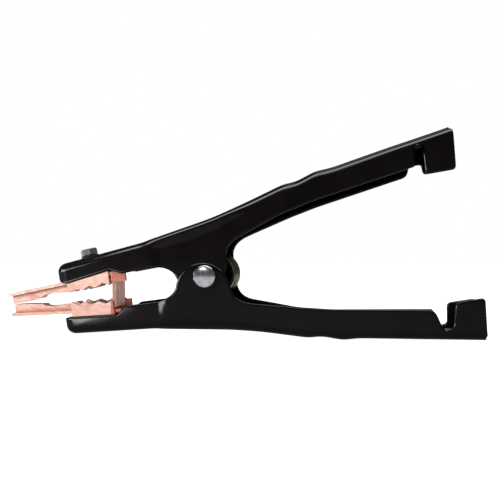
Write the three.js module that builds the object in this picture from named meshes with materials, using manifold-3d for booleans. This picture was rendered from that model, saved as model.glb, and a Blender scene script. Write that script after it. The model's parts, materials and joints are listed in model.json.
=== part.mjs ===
// Ground clamp: two pressed steel levers crossed at one rivet, a torsion spring that closes them,
// and a pair of copper jaws joined by a flexible copper strap.
//
// Both levers are the same stamping, and both jaws are the same casting. Everything is drawn once,
// in the lever's own plan: the pivot is the origin, +X runs along the clamp towards the handles,
// +Y along the pivot, and +Z from the mid-line of the clamp out to the back of the upper lever.
// The lower half is the upper half turned half a turn about +X.
import * as THREE from 'three';
import { mergeVertices } from 'three/addons/utils/BufferGeometryUtils.js';
import Module from 'manifold-3d';

const wasm = await Module();
wasm.setup();

// ---- driving dimensions, in millimetres and radians -------------------------------------------

const CLEARANCE = 0.3; // between pieces that touch

// Lever: a channel of folded sheet, closed at the nose and open at the handle.
const SHEET = 1.8;
const CHANNEL_HALF = 12.5; // half the width over the side walls
const NOSE_X = -78.5;
const HANDLE_X = 131.5; // the back's end
const NOSE_CORNER = 5;
const HANDLE_CORNER = 2.5;
const NOSE_SLOPE = 0.09;
const BACK_AT_NOSE = 18.25; // height of the back over the mid-line at the nose
// The back bends at each of these places: where, and its slope from there on.
const BACK_BENDS = [
  [-31, 0.2],
  [-26, 0.162],
  [9, 0.215],
  [24, 0.284],
  [46, 0.05],
  [53, 0.33],
  [63, 0.04],
  [71, 0.164],
];

// Ear: the round part of each side wall that carries the pivot.
const EAR_X = -2.2;
const EAR_Z = 7.1;
const EAR_RADIUS = 14.3;
const EAR_SHIFT = 1.1; // the outer ear stands out by this much and the inner ear stands in by it
const EAR_ZONE = [-24, 20]; // the stretch of side wall that is shifted
const EAR_LAP = 3;

// Open edge of the side walls, and the cable tabs at the end of the handle.
const STEP_X = [-49.3, -42.9];
const STEP_Z = 8.3;
const TAB_CORNER = 2;
// Corners of the open edge behind the ear, with how far each is rounded. The wall on the outer ear's
// side is the deep one: it reaches further in.
const SHALLOW_EDGE = [[42, 24.4, 3], [60, 28.4, 3]];
const DEEP_EDGE = [[46, 23.2, 3], [60, 26.1, 3]];
// The two levers are struck a little differently: the height of the mouth's edge at the front and at
// the back of the nose, where the tab's edge ends, and the end of each wall with the slot behind it.
const UPPER = {
  noseEdgeZ: 7.2,
  mouthEndZ: 11.1,
  tabEndX: 130,
  shallow: [[111.1, 36.1, 0.9], [112.3, 45.1, 1.7], [116.1, 45.1, 1.7], [115.3, 31.4, TAB_CORNER]],
  deep: [[109.2, 33.7, 2.4], [111.2, 38.6, 0.8], [117.5, 38.9, 1.5], [117.5, 33.4, TAB_CORNER]],
};
const LOWER = {
  noseEdgeZ: 9.4,
  mouthEndZ: 12.05,
  tabEndX: 133.2,
  shallow: [[111.1, 36.1, 0.9], [112.3, 44.6, 1.7], [117, 44.6, 1.7], [118.6, 33.9, TAB_CORNER]],
  deep: [[108.9, 34, 3], [111.6, 44.2, 1.9], [116.2, 44.2, 1.9], [119.3, 31.8, TAB_CORNER]],
};
const NOSE_NOTCH_HALF = 7.5; // in the front wall, around the jaw's nose
const NOSE_NOTCH_Z = 9.7;

// Pivot: rivet, bush, washer and spring.
const SHANK_RADIUS = 3;
const RIVET_HEAD_RADIUS = 5.75;
const RIVET_HEAD_HEIGHT = 3.2;
const TAIL_RADIUS = 5;
const BUSH_RADIUS = 4;
const WASHER_RADIUS = 6.5;
const WASHER_THICKNESS = 1;
const WIRE_RADIUS = 1.3;
const COIL_RADIUS = 9.85;
const COIL_TURNS = 6; // less twice the angle from the front of the coil at which a leg leaves it
const COIL_PITCH = 2.8;
const LEG_RISE = THREE.MathUtils.degToRad(40); // of each leg, from the mid-line
const LEG_LENGTH = 30;

// Jaws: a toothed trough on the nose of the lever, with a long T-section nose in front of it. Both
// are one casting, but the upper one leans open and the lower one leans in by the same angle.
const JAW_LEAN = 0.0323;
const JAW_MIDDLE = [-62, 9.67]; // a point of the base's outer face
const JAW_SLOPE = 0.076;
const JAW_TIP_X = -108.7;
const JAW_BASE = 1.6;
const TROUGH_X = [-73.2, -50.5];
const TROUGH_HALF = 11.6;
const TROUGH_WALL = 2;
const TROUGH_TOP = 13; // taller than the room under the lever, whose open edge trims it
const SHOULDER_HALF = 10.4;
const TOOTH_COUNT = 4;
const TOOTH_PITCH = 7.25;
const TOOTH_DEPTH = 1.8;
const FIRST_TOOTH = [-72.7, 2.5];
const TOOTH_LINE_SLOPE = 0.08;
const NOSE_PLATE_HALF = 7;
const NOSE_BAR_HALF = 3.5;
// The mouth edge of the nose's bar: flat at the tip, then arched over a rod.
const BAR_EDGE = [
  [-108.2, 0.15], [-104, 0.4], [-100, 0.75], [-92.2, 1.6], [-91.2, 2.7], [-88.6, 3.25], [-84.5, 3.4],
  [-80.5, 3.05], [-76, 2.75], [-73.2, 2.6], [-70.5, 5],
];
const HEEL_HALF = 10.2;
const FLANGE_INSIDE = 8.4;
const FLANGE_FRONT_X = -49.6;
const FLANGE_EDGE_Z = 5;
const HEEL_END_X = { upper: -41.9, lower: -47.2 };

// Fasteners of the jaws, square to the back of the nose.
const FASTENER_X = -62.9;
const SCREW_RADIUS = 2.5;
const HEX_FLATS = 8;
const HEX_HEIGHT = 3.2;
const LOCK_WASHER_RADIUS = 4.6;
const LOCK_WASHER_THICKNESS = 1;
const NUT_SIDE = 8;
const NUT_THICKNESS = 2;

// Strap: two leaves of copper braid behind the teeth. Each is a C whose arms lie on the bases of the
// troughs, under the nut of the upper jaw and the rivet head of the lower one.
const STRAP_HALF = 8;
const STRAP_BACK_X = -49.15; // rear face of the strap on the mid-line
const STRAP_RAKE = 0.155;
const LEAF = 0.85;
const LEAF_BEND = 2.4;
const ARM_END_X = -69;

// ---- materials --------------------------------------------------------------------------------

const blackCoat = new THREE.MeshStandardMaterial({ color: 0x100f12, roughness: 0.22, metalness: 0 });
const zinc = new THREE.MeshStandardMaterial({ color: 0xb9bcc0, roughness: 0.3, metalness: 1 });
const yellowZinc = new THREE.MeshStandardMaterial({ color: 0x9c9a70, roughness: 0.35, metalness: 1 });
const copper = new THREE.MeshStandardMaterial({ color: 0xe3a78c, roughness: 0.42, metalness: 1 });
const braid = new THREE.MeshStandardMaterial({ color: 0xcf9c88, roughness: 0.55, metalness: 1 });

// ---- solids -----------------------------------------------------------------------------------

// A closed solid from any geometry whose faces meet edge to edge.
function solid(geometry) {
  const bare = geometry.clone();
  bare.deleteAttribute('normal');
  bare.deleteAttribute('uv');
  const merged = mergeVertices(bare, 1e-5);
  const corners = merged.index.array;
  const kept = [];
  for (let i = 0; i < corners.length; i += 3) {
    const [a, b, c] = corners.slice(i, i + 3);
    if (a !== b && b !== c && c !== a) kept.push(a, b, c);
  }
  const vertProperties = new Float32Array(merged.attributes.position.array);
  return new wasm.Manifold(new wasm.Mesh({ numProp: 3, vertProperties, triVerts: new Uint32Array(kept) }));
}

function geometryOf(shape) {
  const mesh = shape.getMesh();
  const geometry = new THREE.BufferGeometry();
  geometry.setAttribute('position', new THREE.BufferAttribute(new Float32Array(mesh.vertProperties), 3));
  geometry.setIndex(new THREE.BufferAttribute(new Uint32Array(mesh.triVerts), 1));
  const faceted = geometry.toNonIndexed();
  faceted.computeVertexNormals();
  return faceted;
}

// A plate with this outline in X and Z, reaching from y0 to y1.
function plate(outline, y0, y1, curveSegments = 6) {
  const flat = new THREE.ExtrudeGeometry(outline, { depth: y1 - y0, bevelEnabled: false, curveSegments });
  flat.rotateX(Math.PI / 2);
  flat.translate(0, y1, 0);
  return solid(flat);
}

// A rod along Y.
function rod(radius, y0, y1, segments = 32) {
  return turned([[0, y0], [radius, y0], [radius, y1], [0, y1]], segments);
}

function outlineOf(corners) {
  return new THREE.Shape(corners.map(([x, z]) => new THREE.Vector2(x, z)));
}

function block(x0, x1, y0, y1, z0, z1) {
  return plate(outlineOf([[x0, z0], [x1, z0], [x1, z1], [x0, z1]]), y0, y1);
}

// A solid turned about the Y axis from [radius, y] corners that run from the axis back to it.
function turned(corners, segments = 32) {
  const profile = corners.map(([radius, y]) => new THREE.Vector2(radius, y));
  return solid(new THREE.LatheGeometry(profile, segments));
}

// A ring about the Y axis, between two radii and two places along it.
function ring(inner, outer, y0, y1, segments = 32) {
  return rod(outer, y0, y1, segments).subtract(rod(inner, y0 - 1, y1 + 1, segments));
}

// The corners of a circular arc about (x, z), both ends included.
function arc(x, z, radius, from, to, steps) {
  const corners = [];
  for (let i = 0; i <= steps; i += 1) {
    const angle = from + ((to - from) * i) / steps;
    corners.push([x + radius * Math.cos(angle), z + radius * Math.sin(angle)]);
  }
  return corners;
}

// ---- lever ------------------------------------------------------------------------------------

// Height of the back of the lever over the mid-line.
function backZ(x) {
  let z = BACK_AT_NOSE;
  let from = NOSE_X;
  let slope = NOSE_SLOPE;
  for (const [bendX, nextSlope] of BACK_BENDS) {
    if (x <= bendX) break;
    z += slope * (bendX - from);
    from = bendX;
    slope = nextSlope;
  }
  return z + slope * (x - from);
}

// The back between two places as corners, moved in by an inset.
function backCorners(fromX, toX, inset) {
  const bends = BACK_BENDS.map(([x]) => x).filter((x) => x > fromX && x < toX);
  return [fromX, ...bends, toX].map((x) => [x, backZ(x) - inset]);
}

// The region between two places from below the ears up to the back, less an inset.
function underBack(fromX, toX, inset) {
  const lowZ = -2 * EAR_RADIUS;
  return outlineOf([[fromX, lowZ], [toX, lowZ], ...backCorners(fromX, toX, inset).reverse()]);
}

// A line through corners [x, z, cut], each rounded from this far before it to this far after it.
function roundedLine(corners) {
  const line = new THREE.Path();
  line.moveTo(corners[0][0], corners[0][1]);
  for (let i = 1; i < corners.length - 1; i += 1) {
    const [last, at, next] = corners.slice(i - 1, i + 2).map(([x, z]) => new THREE.Vector2(x, z));
    const before = last.sub(at).setLength(corners[i][2]).add(at);
    const after = next.sub(at).setLength(corners[i][2]).add(at);
    line.lineTo(before.x, before.y);
    line.quadraticCurveTo(at.x, at.y, after.x, after.y);
  }
  return line.getPoints(4).map((point) => [point.x, point.y]);
}

// The open edge of a side wall from the nose to the handle. A deep wall reaches further in.
function openEdge(form, deep) {
  const edge = new THREE.Path();
  const earFrom = THREE.MathUtils.degToRad(194);
  const earTo = THREE.MathUtils.degToRad(362);
  edge.moveTo(NOSE_X, form.noseEdgeZ);
  edge.lineTo(STEP_X[0], form.mouthEndZ);
  edge.lineTo(STEP_X[1], STEP_Z);
  edge.lineTo(-27, 8.7);
  edge.quadraticCurveTo(
    -19.5, 8.4,
    EAR_X + EAR_RADIUS * Math.cos(earFrom), EAR_Z + EAR_RADIUS * Math.sin(earFrom),
  );
  edge.absarc(EAR_X, EAR_Z, EAR_RADIUS, earFrom, earTo, false);
  edge.quadraticCurveTo(12.3, 14.4, 21, 17);
  const corners = edge.getPoints(9).map((point) => [point.x, point.y]);
  const wallEnd = deep ? form.deep : form.shallow;
  const tabEdgeZ = wallEnd.at(-1)[1];
  const rear = [
    corners.at(-1), ...(deep ? DEEP_EDGE : SHALLOW_EDGE), ...wallEnd,
    [form.tabEndX, tabEdgeZ, TAB_CORNER], [HANDLE_X, backZ(HANDLE_X)],
  ];
  return [...corners, ...roundedLine(rear).slice(1, -1)];
}

// The whole side of the lever, from its open edge to its back.
function sideOutline(form, deep) {
  const noseZ = backZ(NOSE_X + NOSE_CORNER) - NOSE_CORNER;
  const nose = arc(NOSE_X + NOSE_CORNER, noseZ, NOSE_CORNER, Math.PI, Math.PI / 2, 6);
  const endZ = backZ(HANDLE_X - HANDLE_CORNER) - HANDLE_CORNER;
  const end = arc(HANDLE_X - HANDLE_CORNER, endZ, HANDLE_CORNER, Math.PI / 2, 0, 4);
  const back = BACK_BENDS.map(([x]) => [x, backZ(x)]);
  return outlineOf([...openEdge(form, deep), ...[...nose, ...back, ...end].reverse()]);
}

// One side wall's ear stretch, as a plate between two places along the pivot.
function earPlate(form, y0, y1) {
  const bendRadius = 2.5;
  const stretch = underBack(EAR_ZONE[0] - EAR_LAP, EAR_ZONE[1] + EAR_LAP, bendRadius);
  return plate(sideOutline(form, false), y0, y1).intersect(plate(stretch, y0 - 1, y1 + 1));
}

// Placed square to the back of the nose, over the jaw's fastener: +Y points out of the back.
function atFastener() {
  const place = new THREE.Matrix4().makeTranslation(FASTENER_X, 0, backZ(FASTENER_X));
  place.multiply(new THREE.Matrix4().makeRotationY(-Math.atan(NOSE_SLOPE)));
  return place.multiply(new THREE.Matrix4().makeRotationX(Math.PI / 2));
}

function lever(form) {
  const inner = CHANNEL_HALF - SHEET;
  const reach = 2 * CHANNEL_HALF;
  const past = 5;
  const shallow = plate(sideOutline(form, false), -CHANNEL_HALF, 0);
  const deep = plate(sideOutline(form, true), 0, CHANNEL_HALF);
  const space = plate(underBack(NOSE_X + SHEET, HANDLE_X + past, SHEET), -inner, inner);
  const zone = plate(underBack(EAR_ZONE[0], EAR_ZONE[1], SHEET), -reach, reach);
  const innerEar = earPlate(form, -inner - SHEET + EAR_SHIFT, -inner + EAR_SHIFT);
  const outerEar = earPlate(form, inner + EAR_SHIFT, inner + SHEET + EAR_SHIFT);
  const notch = block(NOSE_X - 1, NOSE_X + 2 * SHEET, -NOSE_NOTCH_HALF, NOSE_NOTCH_HALF, 0, NOSE_NOTCH_Z);
  const pivotHole = rod(SHANK_RADIUS + CLEARANCE, -reach, reach);
  const screwHole = rod(SCREW_RADIUS + CLEARANCE, -NOSE_CORNER, NOSE_CORNER).transform(atFastener().elements);
  return shallow.add(deep).subtract(space).subtract(zone)
    .add(innerEar).add(outerEar)
    .subtract(notch).subtract(pivotHole).subtract(screwHole);
}

// ---- jaw --------------------------------------------------------------------------------------

// Height of the outer face of the casting's base over the mid-line, before the jaw leans.
function baseZ(x) {
  return JAW_MIDDLE[1] + JAW_SLOPE * (x - JAW_MIDDLE[0]);
}

function leaning(angle) {
  const [x, z] = JAW_MIDDLE;
  const place = new THREE.Matrix4().makeTranslation(x, 0, z);
  place.multiply(new THREE.Matrix4().makeRotationY(angle));
  return place.multiply(new THREE.Matrix4().makeTranslation(-x, 0, -z));
}

// The casting's base between two places.
function jawBase(fromX, toX, half) {
  return plate(outlineOf([
    [fromX, baseZ(fromX) - JAW_BASE], [toX, baseZ(toX) - JAW_BASE], [toX, baseZ(toX)], [fromX, baseZ(fromX)],
  ]), -half, half);
}

// The side of the trough, with its row of teeth along the mouth.
function toothedSide() {
  const [fromX, toX] = TROUGH_X;
  const [firstX, firstZ] = FIRST_TOOTH;
  const teeth = [];
  for (let i = 0; i < TOOTH_COUNT; i += 1) {
    const x = firstX + i * TOOTH_PITCH;
    const z = firstZ + i * TOOTH_PITCH * TOOTH_LINE_SLOPE;
    teeth.push([x, z]);
    if (i < TOOTH_COUNT - 1) teeth.push([x + TOOTH_PITCH * 0.53, z + TOOTH_DEPTH]);
  }
  const chamfer = 0.6;
  const lastZ = teeth.at(-1)[1];
  return outlineOf([
    [fromX, TROUGH_TOP], [fromX, firstZ + chamfer], ...teeth, [toX, lastZ + chamfer], [toX, TROUGH_TOP],
  ]);
}

// The room of the lever's walls outside the shoulders, with a gap under their open edge.
function leverRoom(form, side) {
  const edgeZ = (x) => {
    const share = (x - NOSE_X) / (STEP_X[0] - NOSE_X);
    return form.noseEdgeZ + share * (form.mouthEndZ - form.noseEdgeZ) - CLEARANCE;
  };
  const [fromX, toX] = [NOSE_X, HEEL_END_X.upper];
  const above = outlineOf([[fromX, edgeZ(fromX)], [toX, edgeZ(toX)], [toX, 2 * TROUGH_TOP], [fromX, 2 * TROUGH_TOP]]);
  const ends = [SHOULDER_HALF, 2 * TROUGH_HALF].map((y) => side * y).sort((a, b) => a - b);
  return plate(above, ...ends);
}

function jaw(form, lean, heelEndX) {
  const [fromX, toX] = TROUGH_X;
  const far = 2 * TROUGH_HALF;
  const hollowHalf = TROUGH_HALF - TROUGH_WALL;
  const hollow = outlineOf([
    [fromX - 1, -1], [toX + 1, -1],
    [toX + 1, baseZ(toX + 1) - JAW_BASE], [fromX - 1, baseZ(fromX - 1) - JAW_BASE],
  ]);
  const over = outlineOf([
    [fromX - 1, baseZ(fromX - 1)], [toX + 1, baseZ(toX + 1)], [toX + 1, far], [fromX - 1, far],
  ]);
  const trough = plate(toothedSide(), -TROUGH_HALF, TROUGH_HALF)
    .subtract(plate(hollow, -hollowHalf, hollowHalf))
    .subtract(plate(over, -hollowHalf, hollowHalf));
  const nosePlate = jawBase(JAW_TIP_X, fromX + 1, NOSE_PLATE_HALF);
  const barEndX = BAR_EDGE.at(-1)[0];
  const barTop = [[barEndX, baseZ(barEndX) - 1], [BAR_EDGE[0][0], baseZ(BAR_EDGE[0][0]) - 1]];
  const bar = plate(outlineOf([...BAR_EDGE, ...barTop]), -NOSE_BAR_HALF, NOSE_BAR_HALF);
  const heel = jawBase(toX - 1, heelEndX, HEEL_HALF);
  const flange = block(FLANGE_FRONT_X, heelEndX, -HEEL_HALF, -FLANGE_INSIDE, FLANGE_EDGE_Z, baseZ(FLANGE_FRONT_X) - 1);
  const screwHole = rod(SCREW_RADIUS + CLEARANCE, -far, far).transform(atFastener().elements);
  return trough.add(nosePlate).add(bar).add(heel).add(flange)
    .transform(leaning(lean).elements)
    .subtract(leverRoom(form, -1)).subtract(leverRoom(form, 1)).subtract(screwHole);
}

// ---- pivot ------------------------------------------------------------------------------------

const OUTER_EAR_FACE = CHANNEL_HALF + EAR_SHIFT;
const INNER_EAR_FACE = CHANNEL_HALF - SHEET - EAR_SHIFT;

// A domed near head, the shank, and the far head that is formed over the washer.
function pivotRivet() {
  const headY = -OUTER_EAR_FACE - CLEARANCE;
  const tailY = OUTER_EAR_FACE + WASHER_THICKNESS + 2 * CLEARANCE;
  const tipY = OUTER_EAR_FACE + CLEARANCE + RIVET_HEAD_HEIGHT;
  const rim = 0.6;
  const dome = [];
  const steps = 7;
  for (let i = 0; i <= steps; i += 1) {
    const turn = (Math.PI / 2) * (i / steps);
    dome.push([
      i === 0 ? 0 : RIVET_HEAD_RADIUS * Math.sin(turn),
      headY - rim - (RIVET_HEAD_HEIGHT - rim) * Math.cos(turn),
    ]);
  }
  return turned([
    ...dome, [RIVET_HEAD_RADIUS, headY], [SHANK_RADIUS, headY], [SHANK_RADIUS, tailY],
    [TAIL_RADIUS, tailY], [TAIL_RADIUS, tailY + rim], [TAIL_RADIUS * 0.7, tipY], [0, tipY],
  ]);
}

function pivotBush() {
  return ring(SHANK_RADIUS + CLEARANCE, BUSH_RADIUS, CLEARANCE - INNER_EAR_FACE, INNER_EAR_FACE - CLEARANCE);
}

function pivotWasher() {
  const y = OUTER_EAR_FACE + CLEARANCE;
  return ring(SHANK_RADIUS + CLEARANCE, WASHER_RADIUS, y, y + WASHER_THICKNESS);
}

// The wire of the spring: in along the lower handle, round the coil, and out along the upper handle.
// The coil hangs on the bush by its inside, so its centre lies behind the pivot.
class SpringWire extends THREE.Curve {
  constructor() {
    super();
    this.centreX = COIL_RADIUS - WIRE_RADIUS - BUSH_RADIUS - CLEARANCE;
    this.start = Math.PI / 2 + LEG_RISE;
    this.turn = 2 * Math.PI * COIL_TURNS - 2 * this.start;
    this.coil = this.turn * COIL_RADIUS;
    this.total = this.coil + 2 * LEG_LENGTH;
    this.halfY = (COIL_PITCH * this.turn) / (4 * Math.PI);
  }

  getPoint(t) {
    const along = t * this.total;
    const round = THREE.MathUtils.clamp(along - LEG_LENGTH, 0, this.coil);
    const past = along - LEG_LENGTH - round;
    const angle = -this.start - round / COIL_RADIUS;
    return new THREE.Vector3(
      this.centreX + COIL_RADIUS * Math.cos(angle) + past * Math.sin(angle),
      this.halfY * (1 - (2 * round) / this.coil),
      COIL_RADIUS * Math.sin(angle) - past * Math.cos(angle),
    );
  }
}

function wireSection(radius, sides) {
  return new THREE.Shape(arc(0, 0, radius, 0, 2 * Math.PI * (1 - 1 / sides), sides - 1)
    .map(([x, y]) => new THREE.Vector2(x, y)));
}

function torsionSpring() {
  const stepsPerTurn = 20;
  const steps = Math.round(COIL_TURNS * stepsPerTurn * 1.2);
  return solid(new THREE.ExtrudeGeometry(wireSection(WIRE_RADIUS, 8), {
    steps,
    extrudePath: new SpringWire(),
    bevelEnabled: false,
  }));
}

// ---- fasteners of the jaws ---------------------------------------------------------------------

// From the back of the lever, square to it, to the inner face of the strap's arms. The arms lie
// askew to the fastener, which costs a little room.
const TILT_ROOM = 0.2;
const BASE_DEPTH = (backZ(FASTENER_X) - baseZ(FASTENER_X) + JAW_BASE) * Math.cos(Math.atan(NOSE_SLOPE));
const STACK = BASE_DEPTH + 2 * (LEAF + CLEARANCE) + TILT_ROOM;

// Everything here is drawn along +Y, with y = 0 on the back of the lever.
function lockWasher() {
  const y = CLEARANCE;
  return ring(SCREW_RADIUS + CLEARANCE, LOCK_WASHER_RADIUS, y, y + LOCK_WASHER_THICKNESS, 24);
}

function terminalScrew() {
  const headY = LOCK_WASHER_THICKNESS + 2 * CLEARANCE;
  const endY = -STACK - CLEARANCE - NUT_THICKNESS;
  const hexRadius = HEX_FLATS / Math.sqrt(3);
  const crown = 0.6;
  const head = turned([
    [0, headY], [hexRadius, headY], [hexRadius, headY + HEX_HEIGHT - crown],
    [HEX_FLATS / 2, headY + HEX_HEIGHT], [0, headY + HEX_HEIGHT],
  ], 6);
  return head.add(rod(SCREW_RADIUS, endY, headY + 1));
}

function terminalNut() {
  const topY = -STACK - CLEARANCE;
  const square = block(-NUT_SIDE / 2, NUT_SIDE / 2, topY - NUT_THICKNESS, topY, -NUT_SIDE / 2, NUT_SIDE / 2);
  return square.subtract(rod(SCREW_RADIUS + CLEARANCE, -2 * STACK, STACK));
}

// Flush with the back of the lever, with a low round head inside the jaw.
function jawRivet() {
  const headY = -STACK - CLEARANCE;
  const headRadius = 4;
  const head = 1.8;
  return turned([
    [0, headY - head], [headRadius * 0.6, headY - head], [headRadius, headY - head / 2], [headRadius, headY],
    [SCREW_RADIUS, headY], [SCREW_RADIUS, 0], [0, 0],
  ]);
}

// Lies on the base of the jaw, under the back of the lever.
function jawWasher() {
  const y = CLEARANCE + TILT_ROOM - BASE_DEPTH + JAW_BASE;
  return ring(SCREW_RADIUS + CLEARANCE, LOCK_WASHER_RADIUS, y, y + LOCK_WASHER_THICKNESS, 24);
}

// ---- strap ------------------------------------------------------------------------------------

// A path with these corners moved to its right by an inset, and every corner but the ends rounded.
function insetPath(corners, inset, radius) {
  const lines = corners.slice(1).map((to, i) => {
    const along = new THREE.Vector2(to[0] - corners[i][0], to[1] - corners[i][1]).normalize();
    const aside = new THREE.Vector2(along.y, -along.x).multiplyScalar(inset);
    return { along, from: new THREE.Vector2(...corners[i]).add(aside), to: new THREE.Vector2(...to).add(aside) };
  });
  const path = [lines[0].from.toArray()];
  for (let i = 1; i < lines.length; i += 1) {
    const [one, other] = [lines[i - 1], lines[i]];
    const gap = other.from.clone().sub(one.from);
    const share = gap.cross(other.along) / one.along.cross(other.along);
    const corner = one.from.clone().addScaledVector(one.along, share);
    const turn = Math.acos(one.along.dot(other.along));
    const cut = (radius - inset) * Math.tan(turn / 2);
    const before = corner.clone().addScaledVector(one.along, -cut);
    const after = corner.clone().addScaledVector(other.along, cut);
    path.push(...new THREE.QuadraticBezierCurve(before, corner, after).getPoints(6).map((point) => point.toArray()));
  }
  return [...path, lines.at(-1).to.toArray()];
}

// The inner face of a jaw's base, less a gap, for the jaw that leans by this angle.
function armZ(x, lean) {
  const [middleX, middleZ] = JAW_MIDDLE;
  return middleZ + Math.tan(Math.atan(JAW_SLOPE) - lean) * (x - middleX) - JAW_BASE - CLEARANCE;
}

// Leaf 0 is the rear one, against the bases.
function strapLeaf(leaf) {
  const backX = (z) => STRAP_BACK_X + STRAP_RAKE * z;
  const upperX = backX(armZ(STRAP_BACK_X, JAW_LEAN));
  const lowerX = backX(-armZ(STRAP_BACK_X, -JAW_LEAN));
  const corners = [
    [ARM_END_X, armZ(ARM_END_X, JAW_LEAN)], [upperX, armZ(upperX, JAW_LEAN)],
    [lowerX, -armZ(lowerX, -JAW_LEAN)], [ARM_END_X, -armZ(ARM_END_X, -JAW_LEAN)],
  ];
  const outside = leaf * (LEAF + CLEARANCE);
  const outer = insetPath(corners, outside, LEAF_BEND);
  const inner = insetPath(corners, outside + LEAF, LEAF_BEND);
  const hole = rod(SCREW_RADIUS + CLEARANCE, -2 * STACK, 0);
  const upperHole = hole.transform(atFastener().elements);
  const lowerHole = hole.transform(atFastener().premultiply(new THREE.Matrix4().makeRotationX(Math.PI)).elements);
  return plate(outlineOf([...outer, ...inner.reverse()]), -STRAP_HALF, STRAP_HALF)
    .subtract(upperHole).subtract(lowerHole);
}

// ---- assembly ---------------------------------------------------------------------------------

function named(name, shape, material) {
  const mesh = new THREE.Mesh(geometryOf(shape), material);
  mesh.name = name;
  return mesh;
}

const clamp = new THREE.Group();
const upper = new THREE.Group();
const lower = new THREE.Group();
lower.rotation.x = Math.PI;
clamp.add(upper, lower);

upper.add(named('upper_lever', lever(UPPER), blackCoat));
lower.add(named('lower_lever', lever(LOWER), blackCoat));
upper.add(named('upper_jaw', jaw(UPPER, JAW_LEAN, HEEL_END_X.upper), copper));
lower.add(named('lower_jaw', jaw(LOWER, -JAW_LEAN, HEEL_END_X.lower), copper));

clamp.add(named('pivot_rivet', pivotRivet(), zinc));
clamp.add(named('pivot_bush', pivotBush(), zinc));
clamp.add(named('pivot_washer', pivotWasher(), zinc));
clamp.add(named('torsion_spring', torsionSpring(), yellowZinc));

const onNose = (shape) => shape.transform(atFastener().elements);
upper.add(named('terminal_screw', onNose(terminalScrew()), zinc));
upper.add(named('terminal_lock_washer', onNose(lockWasher()), zinc));
upper.add(named('terminal_nut', onNose(terminalNut()), zinc));
lower.add(named('jaw_rivet', onNose(jawRivet()), zinc));
lower.add(named('jaw_rivet_washer', onNose(jawWasher()), zinc));

clamp.add(named('strap_rear_leaf', strapLeaf(0), braid));
clamp.add(named('strap_front_leaf', strapLeaf(1), braid));

// The clamp stands on the back of its lower lever, on the nose and the second grip.
const restX = [NOSE_X + NOSE_CORNER, BACK_BENDS.at(-1)[0]];
clamp.rotation.y = -Math.atan2(backZ(restX[1]) - backZ(restX[0]), restX[1] - restX[0]);
const box = new THREE.Box3().setFromObject(clamp, true);
const middle = box.getCenter(new THREE.Vector3());
clamp.position.set(-middle.x, -middle.y, -box.min.z);

export default clamp;
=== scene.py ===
import json
import math

import bmesh
import bpy
from mathutils import Matrix, Vector


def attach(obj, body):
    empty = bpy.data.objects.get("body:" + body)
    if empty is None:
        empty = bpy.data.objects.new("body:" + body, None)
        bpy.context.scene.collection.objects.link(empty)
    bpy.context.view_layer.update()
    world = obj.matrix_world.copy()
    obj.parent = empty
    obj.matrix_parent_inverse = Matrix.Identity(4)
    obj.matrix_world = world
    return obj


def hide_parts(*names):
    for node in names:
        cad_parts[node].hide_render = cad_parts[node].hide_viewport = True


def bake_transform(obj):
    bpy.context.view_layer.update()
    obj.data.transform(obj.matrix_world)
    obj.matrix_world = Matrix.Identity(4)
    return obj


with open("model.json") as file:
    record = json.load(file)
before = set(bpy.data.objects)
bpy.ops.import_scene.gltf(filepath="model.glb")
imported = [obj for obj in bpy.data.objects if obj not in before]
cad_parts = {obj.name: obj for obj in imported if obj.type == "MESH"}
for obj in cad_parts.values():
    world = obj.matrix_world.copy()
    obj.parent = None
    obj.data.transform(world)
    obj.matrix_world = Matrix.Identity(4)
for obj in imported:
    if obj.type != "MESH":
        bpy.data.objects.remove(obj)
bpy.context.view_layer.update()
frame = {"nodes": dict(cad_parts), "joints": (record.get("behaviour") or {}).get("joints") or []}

# Sizes are in millimetres in the lever's own plan, as the pieces are drawn: the pivot is the origin,
# +X runs towards the handles, +Y along the pivot, and +Z out to the back of the upper lever.
# The lower half is the upper half turned half a turn about +X.
MM = 0.001

# Lever
SHEET = 1.8
HALF = 12.5
NOSE_X = -78.5
HANDLE_X = 131.5
BACK_AT_NOSE = 18.25
NOSE_SLOPE = 0.09
BACK_BENDS = [  # where, slope from there on, half the length of the bend
    (-31, 0.2, 2.2), (-26, 0.162, 2.2), (9, 0.215, 5), (24, 0.284, 7),
    (46, 0.05, 2.8), (53, 0.33, 2.8), (63, 0.04, 2.8), (71, 0.164, 3.5),
]
BEND_RADIUS = 4.2   # between the side walls and the back
NOSE_RADIUS = 5.4   # between the side walls and the front of the nose
END_CORNER = 2.5
EAR_CENTRE = (-2.2, 7.1)
EAR_RADIUS = 14.3
EAR_TURN = (194, 362)                 # degrees, the arc of the ear's outline
EAR_FRONT = ((-27, 8.7), (-19.5, 8.4))  # where the edge leaves the mouth for the ear, and its curve
EAR_BACK = ((12.3, 14.4), (21, 17))     # the curve behind the ear, and where the handle's edge begins
EAR_SHIFT = 1.1          # how far the walls are pressed sideways at the ears
PRESS_FRONT = (-26.6, -21.8)
PRESS_REAR = (13, 31)
PRESS_WIDEN = 1.7        # the front of the press is this much longer at each end by the bend
PRESS_WIDEN_Z = (9, 19)
STEP_X = (-49.3, -42.9)
STEP_Z = 8.3
TAB_CORNER = 2.0
NOTCH_EDGE_Z = 9.7  # the front wall's edge, around the jaw's nose
END_LEAN = 1.6      # how far the end of the handle leans in at its back corner
CROWN_RISE = (0, 28)     # the crown of the back begins behind the pivot, and halves at the end
CROWN_FALL = (95, 125)
CROWN_BAND = (9, 3)      # how far below the back it starts and is complete
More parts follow.
